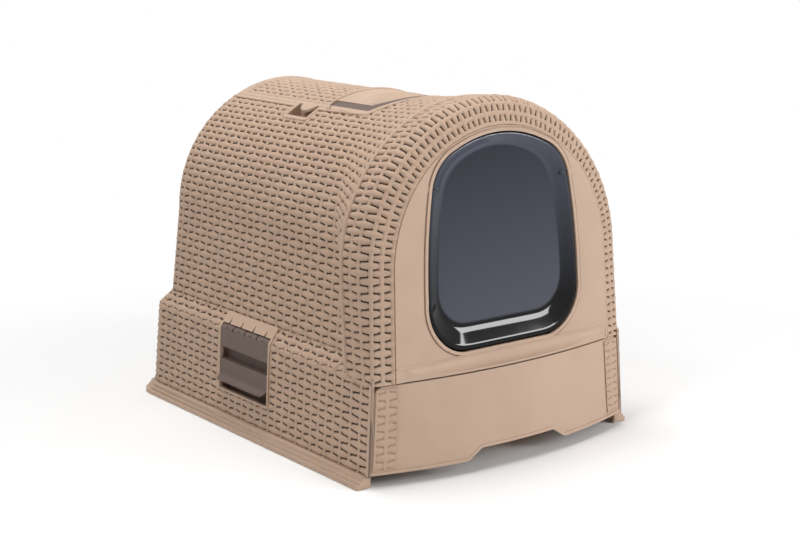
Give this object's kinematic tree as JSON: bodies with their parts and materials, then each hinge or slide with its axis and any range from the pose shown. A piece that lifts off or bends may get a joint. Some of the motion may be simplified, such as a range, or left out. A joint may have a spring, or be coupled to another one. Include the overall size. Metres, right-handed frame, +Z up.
{
  "type": "hooded litter box",
  "caption": "Hooded cat litter box with an arched woven-look hood, swing door, pull-out litter drawer, side clips, carry handle and filter lid.",
  "frame": {"origin": "middle of the overall footprint, on the floor the box stands on", "axes": "+Z up, -Y is the front with the door and drawer, +X to the right of someone who looks along +Y"},
  "size_m": [0.3832, 0.5088, 0.3928],
  "materials": {
    "tan_weave": "satin woven relief",
    "tan_smooth": "satin smooth",
    "smoked_door": "gloss",
    "clip_brown": "satin",
    "handle_brown": "satin",
    "carbon_pad": "matt foam"
  },
  "bodies": {
    "base": {"base_tray": "tan_smooth"},
    "drawer": {"litter_drawer": "tan_smooth"},
    "hood": {"hood_shell": "tan_weave", "front_panel": "tan_smooth", "carbon_filter": "carbon_pad"},
    "door": {"swing_door": "smoked_door"},
    "clip_left": {"side_clip_left": "clip_brown"},
    "clip_right": {"side_clip_right": "clip_brown"},
    "handle": {"carry_handle": "handle_brown"},
    "lid": {"filter_lid": "tan_weave"}
  },
  "joints": [
    {"name": "drawer_slide", "type": "slide", "parent": "base", "child": "drawer", "axis": [0, -1, 0], "range_m": [0, 0.4]},
    {"name": "hood_lift", "type": "slide", "parent": "base", "child": "hood", "axis": [0, 0, 1], "range_m": [0, 0.12]},
    {"name": "door_swing", "type": "hinge", "parent": "hood", "child": "door", "pos_m": [0, -0.21936, 0.30357], "axis": [1, 0, 0], "range_deg": [-75, 75]},
    {"name": "clip_right_open", "type": "hinge", "parent": "hood", "child": "clip_right", "pos_m": [0.16918, 0.022, 0.11407], "axis": [0, -1, 0], "range_deg": [0, 60]},
    {"name": "clip_left_open", "type": "hinge", "parent": "hood", "child": "clip_left", "pos_m": [-0.16918, 0.022, 0.11407], "axis": [0, 1, 0], "range_deg": [0, 60]},
    {"name": "handle_lift", "type": "hinge", "parent": "hood", "child": "handle", "pos_m": [0, 0.001, 0.3652], "axis": [-1, 0, 0], "range_deg": [0, 90]},
    {"name": "lid_lift", "type": "slide", "parent": "hood", "child": "lid", "axis": [0, 0, 1], "range_m": [0, 0.045]}
  ]
}
